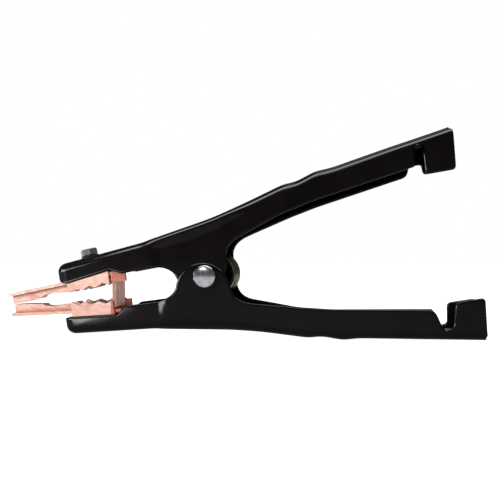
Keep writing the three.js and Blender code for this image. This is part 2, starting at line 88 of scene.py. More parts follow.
# Each lever's open edge: its height at the front and at the back of the mouth, where the tab ends,
# how far the back is crowned, and the corners (x, z, cut) of its two walls behind the ear.
FORMS = {
    "upper": {
        "mouth": (7.2, 11.1), "tab_end": 130.0, "crown": 0.65,
        "shallow": [(42, 24.4, 3), (60, 28.4, 3), (111.1, 36.1, 0.9), (112.3, 45.1, 1.7),
                    (116.1, 45.1, 1.7), (115.3, 31.4, TAB_CORNER)],
        "deep": [(46, 23.2, 3), (60, 26.1, 3), (109.2, 33.7, 2.4), (111.2, 38.6, 0.8),
                 (117.5, 38.9, 1.5), (117.5, 33.4, TAB_CORNER)],
    },
    "lower": {
        "mouth": (9.4, 12.05), "tab_end": 133.2, "crown": 0.1,
        "shallow": [(42, 24.4, 3), (60, 28.4, 3), (111.1, 36.1, 0.9), (112.3, 44.6, 1.7),
                    (117, 44.6, 1.7), (118.6, 33.9, TAB_CORNER)],
        "deep": [(46, 23.2, 3), (60, 26.1, 3), (108.9, 34, 3), (111.6, 44.2, 1.9),
                 (116.2, 44.2, 1.9), (119.3, 31.8, TAB_CORNER)],
    },
}

# Pivot, spring and fasteners, drawn along +Y
CLEARANCE = 0.3
EAR_FACE = HALF + EAR_SHIFT
INNER_FACE = HALF - SHEET - EAR_SHIFT
SHANK_RADIUS = 3.0
HEAD_RADIUS = 5.75
HEAD_HEIGHT = 3.2
HEAD_RIM = 0.6
DOME_STEPS = 18
TAIL_RADIUS = 5.0
PIVOT_WASHER = (6.5, 1.0)  # radius, thickness
BUSH_RADIUS = 4.0
WIRE_RADIUS = 1.3
COIL_RADIUS = 9.85
COIL_TURNS = 6
COIL_PITCH = 2.8
LEG_RISE = math.radians(40)
LEG_LENGTH = 30.0
FASTENER_X = -62.9
SCREW_RADIUS = 2.5
THREAD_PITCH = 0.8
THREAD_DEPTH = 0.4
THREAD_CREST = 0.15
HEX_FLATS = 8.0
HEX_HEIGHT = 3.2
HEX_CHAMFER = 0.58  # slope of the chamfer that rounds off the head's corners
LOCK_WASHER = (4.6, 1.0)
SPLIT = (-125, 350, 0.12)  # degrees where the washer starts and turns through, and its rise
NUT = (8.0, 2.0)  # side, thickness
NUT_CHAMFER = 0.45
TACK_RADIUS = 4.0   # the closed end of the lower jaw's rivet
TACK_TIP = 2.4
TACK_HEIGHT = 1.8
TILT_ROOM = 0.2

# Jaws and strap
JAW_LEAN = 0.0323
JAW_MIDDLE = (-62.0, 9.67)
JAW_SLOPE = 0.076
JAW_BASE = 1.6
STRAP_HALF = 8.0
STRAP_BACK_X = -49.15
STRAP_RAKE = 0.155
LEAF = 0.85
LEAF_BEND = 2.4
ARM_END_X = -69.0
RIDGES = 13  # strands across a leaf
LAY = 0.1      # height of the strands
WEAVE = 0.045  # height of their crossings
SELVEDGE = 0.5

# In metres, in the frame
HEEL_X = -0.0642         # behind it a jaw is its heel
CAST_EDGE = 0.00028
FLOOR_HALF = 1.4
FLOOR_GLOW = (0.22, 1.1)  # to the pieces, and to the camera
CAMERA_AT = (0.0495, -0.3305, 0.0463)

PIVOT = Vector(frame["joints"][0]["pos_m"])
LOWER, UPPER = "lower_lever_assembly", "upper_lever_assembly"


def ramp(distance, reach):
    """A slope change of one, rounded over twice the reach."""
    if distance <= -reach:
        return 0.0
    if distance >= reach:
        return distance
    return (distance + reach) ** 2 / (4 * reach)


def back_z(x):
    """Height of the back of the lever over the mid-line of the clamp."""
    z = BACK_AT_NOSE + NOSE_SLOPE * (x - NOSE_X)
    slope = NOSE_SLOPE
    for place, next_slope, reach in BACK_BENDS:
        z += (next_slope - slope) * ramp(x - place, reach)
        slope = next_slope
    return z


REST_X = (NOSE_X + 5, BACK_BENDS[-1][0])
TILT = math.atan2(back_z(REST_X[1]) - back_z(REST_X[0]), REST_X[1] - REST_X[0])


def placed(half):
    """The matrix from the lever's plan, in millimetres, to the frame, in metres."""
    turn = Matrix.Rotation(math.pi, 4, "X") if half == "lower" else Matrix.Identity(4)
    return Matrix.Translation(PIVOT) @ Matrix.Rotation(-TILT, 4, "Y") @ turn @ Matrix.Scale(MM, 4)


def smooth(value, low, high):
    t = min(max((value - low) / (high - low), 0.0), 1.0)
    return t * t * (3 - 2 * t)


def new_object(name, vertices, faces, matrix, material, body=None):
    mesh = bpy.data.meshes.new(name)
    mesh.from_pydata([matrix @ Vector(v) for v in vertices], [], faces)
    mesh.validate()
    shape = bmesh.new()
    shape.from_mesh(mesh)
    bmesh.ops.remove_doubles(shape, verts=shape.verts, dist=1e-7)
    bmesh.ops.recalc_face_normals(shape, faces=shape.faces)
    shape.to_mesh(mesh)
    shape.free()
    mesh.shade_smooth()
    piece = bpy.data.objects.new(name, mesh)
    bpy.context.scene.collection.objects.link(piece)
    mesh.materials.append(material)
    if body:
        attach(piece, body)
    return piece


# ---- outlines ---------------------------------------------------------------------------------

def arc(x, z, radius, start, end, steps):
    """Corners of an arc, angles in degrees, both ends included."""
    angles = [math.radians(start + (end - start) * i / steps) for i in range(steps + 1)]
    return [(x + radius * math.cos(a), z + radius * math.sin(a)) for a in angles]


def curve(start, control, end, steps):
    points = []
    for i in range(1, steps):
        t = i / steps
        points.append(tuple(
            (1 - t) ** 2 * a + 2 * t * (1 - t) * b + t * t * c for a, b, c in zip(start, control, end)))
    return points


def resampled(points, step):
    """The same line with evenly spaced points, and the length along it of each."""
    lengths = [0.0]
    for a, b in zip(points, points[1:]):
        lengths.append(lengths[-1] + math.dist(a, b))
    count = max(2, round(lengths[-1] / step))
    out = []
    k = 0
    for i in range(count + 1):
        s = lengths[-1] * i / count
        while k < len(points) - 2 and lengths[k + 1] < s:
            k += 1
        t = (s - lengths[k]) / max(lengths[k + 1] - lengths[k], 1e-9)
        out.append(tuple(a + (b - a) * t for a, b in zip(points[k], points[k + 1])))
    return out


def eased(values, window):
    """A running mean that leaves both ends where they are."""
    out = []
    last = len(values) - 1
    for i in range(len(values)):
        w = min(window, i, last - i)
        part = values[i - w:i + w + 1]
        out.append(sum(part) / len(part))
    return out


def rounded_line(corners, steps=8):
    """A line through corners (x, z, cut), each rounded from this far before it to this far after it."""
    points = [corners[0][:2]]
    for last, (x, z, cut), after in zip(corners, corners[1:], corners[2:]):
        at = Vector((x, z))
        start = at + (Vector(last[:2]) - at).normalized() * cut
        end = at + (Vector(after[:2]) - at).normalized() * cut
        points += [tuple(start)] + curve(start, at, end, steps) + [tuple(end)]
    return points


def open_edge(form, wall, steps):
    """The open edge of a side wall, from the plan corner of the nose to the tab's end corner."""
    front_z, mouth_z = form["mouth"]
    corner_x = NOSE_X + NOSE_RADIUS
    corner_z = front_z + (mouth_z - front_z) * NOSE_RADIUS / (STEP_X[0] - NOSE_X)
    ear = arc(*EAR_CENTRE, EAR_RADIUS, *EAR_TURN, 60)
    points = [(corner_x, corner_z), (STEP_X[0], mouth_z), (STEP_X[1], STEP_Z), EAR_FRONT[0]]
    points += curve(EAR_FRONT[0], EAR_FRONT[1], ear[0], 10) + ear
    points += curve(ear[-1], *EAR_BACK, 10)
    tab_z = form[wall][-1][1]
    tab_end = [(form["tab_end"], tab_z, TAB_CORNER), (HANDLE_X, back_z(HANDLE_X), 0)]
    points += rounded_line([(*EAR_BACK[1], 0)] + form[wall] + tab_end)
    fine = resampled(points, 0.15)
    rounded = list(zip(eased([x for x, z in fine], 4), eased([z for x, z in fine], 4)))
    length = sum(math.dist(a, b) for a, b in zip(rounded, rounded[1:]))
    return resampled(rounded, length / steps)


# ---- lever ------------------------------------------------------------------------------------

WALL_ROWS = [0, 0.05, 0.14, 0.25, 0.37, 0.5, 0.63, 0.75, 0.86, 0.95, 1]
BEND_ROWS = 7
CROSS = 10
CORNER_STEPS = 8
RIM_ROWS = 6
EDGE_STEPS = 330
RIM_POWER = 0.75         # below 1 the open edge is flatter than a half circle
END_WAY = (1, 0, 0.16)   # out of the end of the back
END_X = HANDLE_X - SHEET / 2


def ear_shift(x, z):
    """How far a wall is pressed sideways to stagger the ears."""
    widen = PRESS_WIDEN * smooth(z, *PRESS_WIDEN_Z)
    front = smooth(x, PRESS_FRONT[0] - widen, PRESS_FRONT[1] + widen)
    rear = 1 - smooth(x, *PRESS_REAR)
    foot = back_z(x) - BEND_RADIUS
    return EAR_SHIFT * front * rear * (1 - smooth(z, foot - 1.5, foot + 0.8 * BEND_RADIUS))


def end_x(z):
    """The end of the handle seen from the side, half a sheet in from its edge, near the back."""
    top = back_z(END_X)
    return END_X - END_LEAN * smooth(z, top - END_CORNER, top) ** 1.5


def wall_columns(form, wall):
    """The columns of a side wall, from the front of the nose to the end of the handle. Each has its
    way out in plan, its place at the open edge, the foot of its bend, and the way out of the metal."""
    columns = []
    centre_x = NOSE_X + NOSE_RADIUS
    edge = open_edge(form, wall, EDGE_STEPS)
    for i in range(CORNER_STEPS):
        turn = math.radians(90 * i / CORNER_STEPS)
        out = (-math.cos(turn), -math.sin(turn))
        x = centre_x + out[0] * NOSE_RADIUS
        share = smooth(i / CORNER_STEPS, 0.1, 1.0)
        z = NOTCH_EDGE_Z + (edge[0][1] - NOTCH_EDGE_Z) * share
        columns.append({"out": out, "edge": (x, z + SHEET / 2), "foot": x, "rim": (0, -1)})
    feet = eased([x for x, z in edge], 9)
    for i, (x, z) in enumerate(edge):
        before, after = edge[max(i - 1, 0)], edge[min(i + 1, len(edge) - 1)]
        along = Vector((after[0] - before[0], after[1] - before[1])).normalized()
        inset = (x - along.y * SHEET / 2, z + along.x * SHEET / 2)
        foot = min(feet[i], END_X)
        columns.append({"out": (0, -1), "edge": inset, "foot": foot, "rim": (along.y, -along.x)})
    columns[-1]["end"] = True
    return columns


def wall_column(column, side, depth):
    """One column of a side wall from its open edge over the bend, this deep in the sheet."""
    out_x, out_y = column["out"]
    corner = out_x != 0
    centre_x, centre_y = NOSE_X + NOSE_RADIUS, NOSE_RADIUS - HALF
    low_x, low_z = column["edge"]
    radius = BEND_RADIUS - depth

    def plan(x, inset):
        if corner:
            return centre_x + out_x * (NOSE_RADIUS - inset), centre_y + out_y * (NOSE_RADIUS - inset)
        return x, inset - HALF

    foot_z = back_z(column["foot"]) - BEND_RADIUS
    foot_x = end_x(foot_z) if "end" in column else column["foot"]
    points = []
    for t in WALL_ROWS:
        points.append((*plan(low_x + (foot_x - low_x) * t, depth), low_z + (foot_z - low_z) * t))
    for k in range(1, BEND_ROWS + 1):
        angle = math.radians(90 * k / BEND_ROWS)
        rise = math.sin(angle)
        x = end_x(foot_z + BEND_RADIUS * rise) if "end" in column else column["foot"]
        px, py = plan(x, depth + radius * (1 - math.cos(angle)))
        points.append((px, py, back_z(px) - BEND_RADIUS + radius * rise))
    return [(x, y * -side + (0 if corner else ear_shift(x, z)), z) for x, y, z in points]


def lever_shape(form):
    """The lever as an outer skin, an inner skin, and a rounded edge between them."""
    shallow = wall_columns(form, "shallow")
    deep = wall_columns(form, "deep")
    count = len(shallow)
    top = len(WALL_ROWS) + BEND_ROWS - 1
    vertices, faces, rims = [], [], []

    def add(point):
        vertices.append(tuple(point))
        return len(vertices) - 1

    def between(a, b, t):
        return [p + (q - p) * t for p, q in zip(a, b)]

    for depth in (0.0, SHEET):
        near = [wall_column(c, -1, depth) for c in shallow]
        far = [wall_column(c, 1, depth) for c in deep]
        front = [[between(a, b, m / CROSS) for a, b in zip(near[0], far[0])] for m in range(1, CROSS)]
        path = [[add(p) for p in column] for column in near[::-1] + front + far]
        web = [[path[count - 1 + m][top] for m in range(CROSS + 1)]]
        for i in range(1, count):
            a, b = path[count - 1 - i][top], path[count + CROSS - 1 + i][top]
            line = [a]
            for m in range(1, CROSS):
                x, y, z = between(vertices[a], vertices[b], m / CROSS)
                line.append(add((x, y, back_z(x) - depth)))
            web.append(line + [b])
        for grid in (path, web):
            for one, other in zip(grid, grid[1:]):
                for k in range(len(one) - 1):
                    faces.append((one[k], other[k], other[k + 1], one[k + 1]))
        rims.append([c[0] for c in path] + path[-1][1:] + web[-1][-2:0:-1] + path[0][:0:-1])

    for i, (x, y, z) in enumerate(vertices):
        crown = form["crown"] * smooth(x, *CROWN_RISE) * (1 - 0.5 * smooth(x, *CROWN_FALL))
        low, high = (back_z(x) - below for below in CROWN_BAND)
        vertices[i] = (x, y, z + crown * smooth(z, low, high))

    def flat(rim):
        return (rim[0], 0, rim[1])

    rows = top + 1
    end = [(1, 0, 0)] * (rows - 1)
    outs = [flat(c["rim"]) for c in reversed(shallow)] + [(0, 0, -1)] * (CROSS - 1)
    outs += [flat(c["rim"]) for c in deep] + end + [END_WAY] * (CROSS - 1) + end
    rings = []
    for a, b, out in zip(*rims, outs):
        pa, pb, way = Vector(vertices[a]), Vector(vertices[b]), Vector(out).normalized()
        ring = [a]
        for k in range(1, RIM_ROWS):
            angle = math.pi * k / RIM_ROWS
            c, d = math.cos(angle), math.sin(angle)
            c = math.copysign(abs(c) ** RIM_POWER, c)
            ring.append(add((pa + pb) / 2 + (pa - pb) / 2 * c + way * (SHEET / 2) * d ** RIM_POWER))
        rings.append(ring + [b])
    for one, other in zip(rings, rings[1:] + rings[:1]):
        for k in range(RIM_ROWS):
            faces.append((one[k], other[k], other[k + 1], one[k + 1]))
    return vertices, faces


# ---- materials --------------------------------------------------------------------------------

class Nodes:
    """A material's node tree, with short calls to add to it."""

    def __init__(self, name):
        self.material = bpy.data.materials.new(name)
        self.material.use_nodes = True
        self.tree = self.material.node_tree
        self.tree.nodes.clear()
        self.shader = self.add("ShaderNodeBsdfPrincipled")
        output = self.add("ShaderNodeOutputMaterial")
        self.link(self.shader.outputs[0], output.inputs[0])
        self.place = self.add("ShaderNodeTexCoord").outputs["Object"]

    def add(self, kind, **settings):
        node = self.tree.nodes.new(kind)
        for key, value in settings.items():
            if key in node.inputs:
                node.inputs[key].default_value = value
            else:
                setattr(node, key, value)
        return node

    def link(self, source, target):
        self.tree.links.new(source, target)

    def stretched(self, scale):
        node = self.add("ShaderNodeMapping")
        node.inputs["Scale"].default_value = scale
        self.link(self.place, node.inputs["Vector"])
        return node.outputs[0]

    def noise(self, scale, detail=3.0, rough=0.5, place=None):
        node = self.add("ShaderNodeTexNoise", Scale=scale, Detail=detail, Roughness=rough)
        self.link(place or self.place, node.inputs["Vector"])
        return node.outputs["Fac"]

    def ramp(self, source, stops):
        node = self.add("ShaderNodeValToRGB")
        elements = node.color_ramp.elements
        while len(elements) < len(stops):
            elements.new(0.5)
        for element, (place, colour) in zip(elements, stops):
            element.position = place
            element.color = (*colour, 1) if isinstance(colour, tuple) else (colour, colour, colour, 1)
        self.link(source, node.inputs["Fac"])
        return node.outputs["Color"]

    def mix(self, factor, a, b):
        node = self.add("ShaderNodeMix", data_type="RGBA")
        for socket, value in ((node.inputs[0], factor), (node.inputs[6], a), (node.inputs[7], b)):
            if isinstance(value, bpy.types.NodeSocket):
                self.link(value, socket)
            elif isinstance(value, tuple):
                socket.default_value = (*value, 1)
            else:
                socket.default_value = value
        return node.outputs[2]

    def bump(self, source, strength, distance, under=None):
        node = self.add("ShaderNodeBump", Strength=strength, Distance=distance)
        self.link(source, node.inputs["Height"])
        if under:
            self.link(under, node.inputs["Normal"])
        return node.outputs[0]

    def painted_hollow_shade(self, reach, low, high):
        """Painted shade from ambient occlusion: 0 deep in a hollow of the piece, 1 on the open surface."""
        node = self.add("ShaderNodeAmbientOcclusion", Distance=reach, samples=8)
        return self.ramp(node.outputs["AO"], [(low, 0.0), (high, 1.0)])

    def set(self, **values):
        for key, value in values.items():
            socket = self.shader.inputs[key.replace("_", " ")]
            if isinstance(value, bpy.types.NodeSocket):
                self.link(value, socket)
            else:
                socket.default_value = (*value, 1) if isinstance(value, tuple) else value
        return self.material


def black_coat():
    n = Nodes("black_coat")
    cloud = n.noise(45, 4, 0.6)
    colour = n.ramp(cloud, [(0.3, (0.0010, 0.0007, 0.0009)), (0.75, (0.0024, 0.0017, 0.0021))])
    dust = n.ramp(n.noise(2600, 1, 0.5), [(0.72, 0.0), (0.82, 1.0)])
    colour = n.mix(n.mix(0.03, (0, 0, 0), dust), colour, (0.10, 0.10, 0.10))
    rough = n.ramp(n.noise(160, 5, 0.7), [(0.3, 0.07), (0.72, 0.14)])
    peel = n.bump(n.noise(150, 2, 0.45), 0.03, 0.0003)
    return n.set(Base_Color=colour, Roughness=rough, Normal=peel, Specular_IOR_Level=0.13)


def zinc_plate():
    n = Nodes("zinc_plate")
    cloud = n.noise(380, 4, 0.6)
    colour = n.ramp(cloud, [(0.3, (0.52, 0.54, 0.56)), (0.7, (0.80, 0.81, 0.82))])
    rough = n.ramp(n.noise(700, 5, 0.7), [(0.3, 0.16), (0.75, 0.38)])
    scratch = n.noise(900, 3, 0.6, n.stretched((1, 1, 7)))
    return n.set(Base_Color=colour, Metallic=1.0, Roughness=rough,
                 Normal=n.bump(scratch, 0.10, 0.0001, n.bump(n.noise(260, 2, 0.5), 0.06, 0.0002)))


def dark_zinc():
    n = Nodes("dark_zinc")
    cloud = n.noise(500, 4, 0.6)
    colour = n.ramp(cloud, [(0.3, (0.05, 0.05, 0.05)), (0.7, (0.16, 0.16, 0.15))])
    rough = n.ramp(n.noise(800, 4, 0.7), [(0.3, 0.25), (0.75, 0.45)])
    return n.set(Base_Color=colour, Metallic=1.0, Roughness=rough, Normal=n.bump(cloud, 0.3, 0.0001))


def spring_wire():
    n = Nodes("spring_wire")
    tint = n.ramp(n.noise(210, 3, 0.6), [
        (0.30, (0.13, 0.13, 0.07)), (0.48, (0.22, 0.23, 0.13)),
        (0.60, (0.34, 0.34, 0.26)), (0.75, (0.17, 0.15, 0.11))])
    rough = n.ramp(n.noise(900, 4, 0.7), [(0.3, 0.18), (0.75, 0.4)])
    # painted shade: the wire goes near black where the coils and the levers close in on it
    tint = n.mix(n.painted_hollow_shade(0.003, 0.2, 0.7), (0.03, 0.03, 0.015), tint)
    drawn = n.noise(1400, 2, 0.5, n.stretched((1, 6, 1)))
    return n.set(Base_Color=tint, Metallic=1.0, Roughness=rough, Normal=n.bump(drawn, 0.08, 0.0001))


def cast_copper():
    """Pale where the casting was cleaned, with painted shade, dark and red, in its hollows, and redder on
    the heel.
    """
    n = Nodes("cast_copper")
    cloud = n.noise(120, 5, 0.65)
    colour = n.ramp(cloud, [
        (0.28, (0.66, 0.33, 0.25)), (0.5, (0.80, 0.48, 0.39)), (0.75, (0.90, 0.62, 0.54))])
    stain = n.ramp(n.noise(38, 3, 0.6), [(0.55, 0.0), (0.8, 1.0)])
    colour = n.mix(n.mix(0.3, (0, 0, 0), stain), colour, (0.55, 0.22, 0.16))
    # painted shade: dark red in hollows and under overhangs, from ambient occlusion
    colour = n.mix(n.painted_hollow_shade(0.004, 0.3, 0.85), (0.25, 0.055, 0.03), colour)
    along = n.add("ShaderNodeSeparateXYZ")
    n.link(n.place, along.inputs[0])
    heel = n.add("ShaderNodeMapRange")
    n.link(along.outputs["X"], heel.inputs["Value"])
    heel.inputs["From Min"].default_value = HEEL_X - 0.0006
    heel.inputs["From Max"].default_value = HEEL_X
    heel.inputs["To Max"].default_value = 0.85
    colour = n.mix(heel.outputs[0], colour, (0.42, 0.11, 0.07))
    rough = n.ramp(n.noise(420, 5, 0.7), [(0.3, 0.30), (0.72, 0.50)])
    grain = n.bump(n.noise(1500, 3, 0.6), 0.14, 0.00012)
    wave = n.bump(n.noise(260, 3, 0.55, n.stretched((1, 1, 2.5))), 0.5, 0.0005, grain)
    return n.set(Base_Color=colour, Metallic=0.45, Roughness=rough, Normal=wave)


def copper_braid():
    n = Nodes("copper_braid")
    strands = n.noise(900, 2, 0.5, n.stretched((1, 3.5, 0.12)))
    colour = n.ramp(strands, [
        (0.32, (0.62, 0.30, 0.22)), (0.5, (0.86, 0.56, 0.47)), (0.7, (0.95, 0.76, 0.68))])
    rough = n.ramp(n.noise(600, 4, 0.7), [(0.3, 0.38), (0.7, 0.6)])
    return n.set(Base_Color=colour, Metallic=0.3, Roughness=rough, Normal=n.bump(strands, 0.5, 0.0003))


BLACK = black_coat()
ZINC = zinc_plate()
DARK_ZINC = dark_zinc()
WIRE = spring_wire()
COPPER = cast_copper()
BRAID = copper_braid()

# ---- turned, faceted and swept shapes ----------------------------------------------------------

def rounded_loop(corners, steps=4):
    """A closed line through corners (x, z, cut), all of them rounded."""
    return rounded_line(corners[-1:] + corners + corners[:1], steps)[1:]


def lathe(profile, wrap=False, segments=72):
    """A solid turned about the Y axis. The profile gives the (radius, y) corners at an angle."""
    vertices = []
    for k in range(segments):
        angle = 2 * math.pi * k / segments
        points = profile(angle) if callable(profile) else profile
        vertices += [(r * math.cos(angle), y, r * math.sin(angle)) for r, y in points]
    count = len(vertices) // segments
    faces = []
    for k in range(segments):
        one, other = k * count, (k + 1) % segments * count
        for i in range(count if wrap else count - 1):
            j = (i + 1) % count
            faces.append((one + i, other + i, other + j, one + j))
    return vertices, faces


def ring_shape(inner, outer, y0, y1, cut=0.2):
    corners = [(inner, y0, cut), (outer, y0, cut), (outer, y1, cut), (inner, y1, cut)]
    return lathe(rounded_loop(corners), wrap=True)


def across_flats(angle, sides, flats):
    """The radius of a prism at this angle."""
    half = math.pi / sides
    return flats / 2 / math.cos((angle + half) % (2 * half) - half)


def sweep(path, section, side):
    """A closed bar: each section's (side, normal) corners carried along a path without twist."""
    vertices, faces = [], []
    side = Vector(side)
    for i, at in enumerate(path):
        along = (Vector(path[min(i + 1, len(path) - 1)]) - Vector(path[max(i - 1, 0)])).normalized()
        side = (side - along * side.dot(along)).normalized()
        normal = along.cross(side)
        corners = section(i)
        vertices += [tuple(Vector(at) + side * a + normal * b) for a, b in corners]
    count = len(corners)
    for i in range(len(path) - 1):
        for k in range(count):
            m = (k + 1) % count
            faces.append((i * count + k, i * count + m, (i + 1) * count + m, (i + 1) * count + k))
    faces.append(tuple(range(count)))
    faces.append(tuple(range(len(vertices) - count, len(vertices))))
    return vertices, faces


def at_fastener():
    """Square to the back of the nose, over the jaw's fastener: +Y points out of the back."""
    lean = Matrix.Rotation(-math.atan(NOSE_SLOPE), 4, "Y")
    upright = Matrix.Rotation(math.pi / 2, 4, "X")
    return Matrix.Translation((FASTENER_X, 0, back_z(FASTENER_X))) @ lean @ upright


# ---- fasteners and pivot -----------------------------------------------------------------------

def rivet_shape():
    """A domed near head, the shank, and the far head that is formed over the washer."""
    head_y = -EAR_FACE - CLEARANCE
    tail_y = EAR_FACE + PIVOT_WASHER[1] + 2 * CLEARANCE
    tip_y = EAR_FACE + CLEARANCE + HEAD_HEIGHT
    dome_height = HEAD_HEIGHT - HEAD_RIM
    dome = []
    for i in range(DOME_STEPS + 1):
        turn = math.radians(90 * i / DOME_STEPS)
        dome.append((HEAD_RADIUS * math.sin(turn), head_y - HEAD_RIM - dome_height * math.cos(turn)))
    rest = [(*dome[-1], 0), (HEAD_RADIUS, head_y, 0.2), (SHANK_RADIUS, head_y, 0),
            (SHANK_RADIUS, tail_y, 0), (TAIL_RADIUS, tail_y, 0.2), (TAIL_RADIUS, tail_y + HEAD_RIM, 0.4),
            (TAIL_RADIUS * 0.7, tip_y, 0.8), (0, tip_y, 0)]
    return lathe(dome[:-1] + rounded_line(rest, 4) + [(0, tip_y)])


def screw_shape(end_y):
    """A chamfered hex head on a threaded shank."""
    head_y = LOCK_WASHER[1] + 2 * CLEARANCE
    top_y = head_y + HEX_HEIGHT
    crown = HEX_FLATS / 2 * 0.95
    turns = int((head_y - 1 - end_y) / THREAD_PITCH)
    thread = []
    for i in range(turns):
        y = end_y + THREAD_PITCH * (i + 0.5)
        crest_y = y + THREAD_PITCH / 2
        thread = [(SCREW_RADIUS, crest_y + THREAD_CREST), (SCREW_RADIUS, crest_y),
                  (SCREW_RADIUS - THREAD_DEPTH, y)] + thread

    def profile(angle):
        radius = across_flats(angle + math.pi / 6, 6, HEX_FLATS)
        shoulder = top_y - (radius - crown) * HEX_CHAMFER
        edge = rounded_line([(0, top_y, 0), (crown, top_y, 0.25), (radius, shoulder, 0.15),
                             (radius, head_y, 0.15), (SCREW_RADIUS, head_y, 0)], 3)
        return edge + [(SCREW_RADIUS, head_y)] + thread + [(SCREW_RADIUS - 0.5, end_y), (0, end_y)]

    return lathe(profile, segments=96)


def nut_shape(y0):
    """A square nut with chamfered corners."""
    side, thickness = NUT
    hole = SCREW_RADIUS + 0.1

    def profile(angle):
        radius = across_flats(angle, 4, side)
        low = y0 + (radius - side / 2) * NUT_CHAMFER
        return rounded_loop([(hole, y0, 0.15), (side / 2 * 0.97, y0, 0.15), (radius, low + 0.06, 0.12),
                             (radius, y0 + thickness, 0.12), (hole, y0 + thickness, 0.15)], 3)

    return lathe(profile, wrap=True, segments=96)


def split_washer_shape(y0):
    """A spring lock washer, cut once and a little twisted."""
    outer, thickness = LOCK_WASHER
    inner = SCREW_RADIUS + CLEARANCE
    middle, half = (outer + inner) / 2, (outer - inner) / 2
    section = rounded_loop([(-thickness / 2, -half, 0.15), (thickness / 2, -half, 0.15),
                            (thickness / 2, half, 0.15), (-thickness / 2, half, 0.15)])
    start, turn, twist = SPLIT
    steps = 80
    path = []
    for i in range(steps + 1):
        angle = math.radians(start + turn * i / steps)
        rise = y0 + thickness / 2 + twist * (i / steps - 0.5)
        path.append((middle * math.cos(angle), rise, middle * math.sin(angle)))
    return sweep(path, lambda i: section, (0, 1, 0))


def spring_shape():
    """The wire: in along the lower handle, round the coil, and out along the upper handle."""
    centre_x = COIL_RADIUS - WIRE_RADIUS - BUSH_RADIUS - CLEARANCE
    start = math.pi / 2 + LEG_RISE
    turn = 2 * math.pi * COIL_TURNS - 2 * start
    half_y = COIL_PITCH * turn / (4 * math.pi)
    path = []
    leg_steps, coil_steps = 24, 330
    for i in range(-leg_steps, coil_steps + leg_steps + 1):
        share = min(max(i / coil_steps, 0), 1)
        past = LEG_LENGTH * (min(i, 0) + max(i - coil_steps, 0)) / leg_steps
        angle = -start - turn * share
        path.append((centre_x + COIL_RADIUS * math.cos(angle) + past * math.sin(angle),
                     half_y * (1 - 2 * share), COIL_RADIUS * math.sin(angle) - past * math.cos(angle)))
    rim = [math.radians(22.5 * k) for k in range(16)]

    def section(i):
        last = len(path) - 1
        radius = WIRE_RADIUS * (0.86 if i in (0, last) else 1)
        return [(radius * math.cos(a), radius * math.sin(a)) for a in rim]

    return sweep(path, section, (0, 1, 0))


# ---- strap -------------------------------------------------------------------------------------

def arm_z(x, lean):
    """The inner face of a jaw's base, less a gap, for the jaw that leans by this angle."""
    middle_x, middle_z = JAW_MIDDLE
    return middle_z + math.tan(math.atan(JAW_SLOPE) - lean) * (x - middle_x) - JAW_BASE - CLEARANCE


def inset_corners(corners, inset, radius):
    """The corners moved to the right of their path by an inset, with the cut that rounds each."""
    lines = []
    for a, b in zip(corners, corners[1:]):
        along = (Vector(b) - Vector(a)).normalized()
        aside = Vector((along.y, -along.x)) * inset
        lines.append((along, Vector(a) + aside, Vector(b) + aside))
    out = [(*lines[0][1], 0)]
    for (along, start, _), (next_along, next_start, _) in zip(lines, lines[1:]):
        gap = next_start - start
        share = gap.cross(next_along) / along.cross(next_along)
        cut = (radius - inset) * math.tan(along.angle(next_along) / 2)
        out.append((*(start + along * share), cut))
    return out + [(*lines[-1][2], 0)]


def strap_shape(leaf):
    """A leaf of braid: a C whose arms lie on the bases of the jaws. Leaf 0 is the rear one."""
    upper_x = STRAP_BACK_X + STRAP_RAKE * arm_z(STRAP_BACK_X, JAW_LEAN)
    lower_x = STRAP_BACK_X - STRAP_RAKE * arm_z(STRAP_BACK_X, -JAW_LEAN)
    corners = [(ARM_END_X, arm_z(ARM_END_X, JAW_LEAN)), (upper_x, arm_z(upper_x, JAW_LEAN)),
               (lower_x, -arm_z(lower_x, -JAW_LEAN)), (ARM_END_X, -arm_z(ARM_END_X, -JAW_LEAN))]
    inset = leaf * (LEAF + CLEARANCE) + LEAF / 2
    line = inset_corners(corners, inset, LEAF_BEND)
    path = resampled(rounded_line(line, 12) + [line[-1][:2]], 0.22)
    across = [STRAP_HALF * (k / (RIDGES * 4) - 1) for k in range(RIDGES * 8 + 1)]

    def height(a, i):
        lay = math.cos(math.pi * RIDGES * a / STRAP_HALF)
        strand = round((a + STRAP_HALF) * RIDGES / (2 * STRAP_HALF))
        weave = math.cos(2 * math.pi * i / 9 + math.pi * strand)
        edge = 1 - smooth(abs(a), STRAP_HALF - SELVEDGE, STRAP_HALF)
        relief = (LAY * lay + WEAVE * weave) * edge
        return LEAF / 2 * (0.35 + 0.65 * edge) - LAY + relief

    def section(i):
        return [(a, height(a, i)) for a in across] + [(a, -height(a, i + 4)) for a in reversed(across)]

    return sweep([(x, 0, z) for x, z in path], section, (0, 1, 0))


# ---- pieces -----------------------------------------------------------------------------------

BODY = {"upper": UPPER, "lower": LOWER}


def standing_for(node, piece, flat_normals=True):
    """Hide the CAD node that the piece stands for, and keep its flat faces flat where it has some."""
    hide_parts(node)
    if flat_normals:
        piece.modifiers.new("flat faces", "WEIGHTED_NORMAL")


def make_levers():
    for half in ("upper", "lower"):
        shape = lever_shape(FORMS[half])
        lever = new_object(f"{half}_lever_shell", *shape, placed(half), BLACK, BODY[half])
        standing_for(f"{half}_lever", lever, False)


def make_turned(name, node, shape, matrix, body, material=ZINC):
    standing_for(node, new_object(name, *shape, matrix, material, body))


def make_pivot():
    plan = placed("upper")
    bore = SHANK_RADIUS + CLEARANCE
    make_turned("rivet", "pivot_rivet", rivet_shape(), plan, LOWER)
    radius, thickness = PIVOT_WASHER
    washer_y = EAR_FACE + CLEARANCE
    washer = ring_shape(bore, radius, washer_y, washer_y + thickness)
    make_turned("rivet_washer", "pivot_washer", washer, plan, LOWER)
    end_y = INNER_FACE - CLEARANCE
    make_turned("bush", "pivot_bush", ring_shape(bore, BUSH_RADIUS, -end_y, end_y), plan, LOWER)


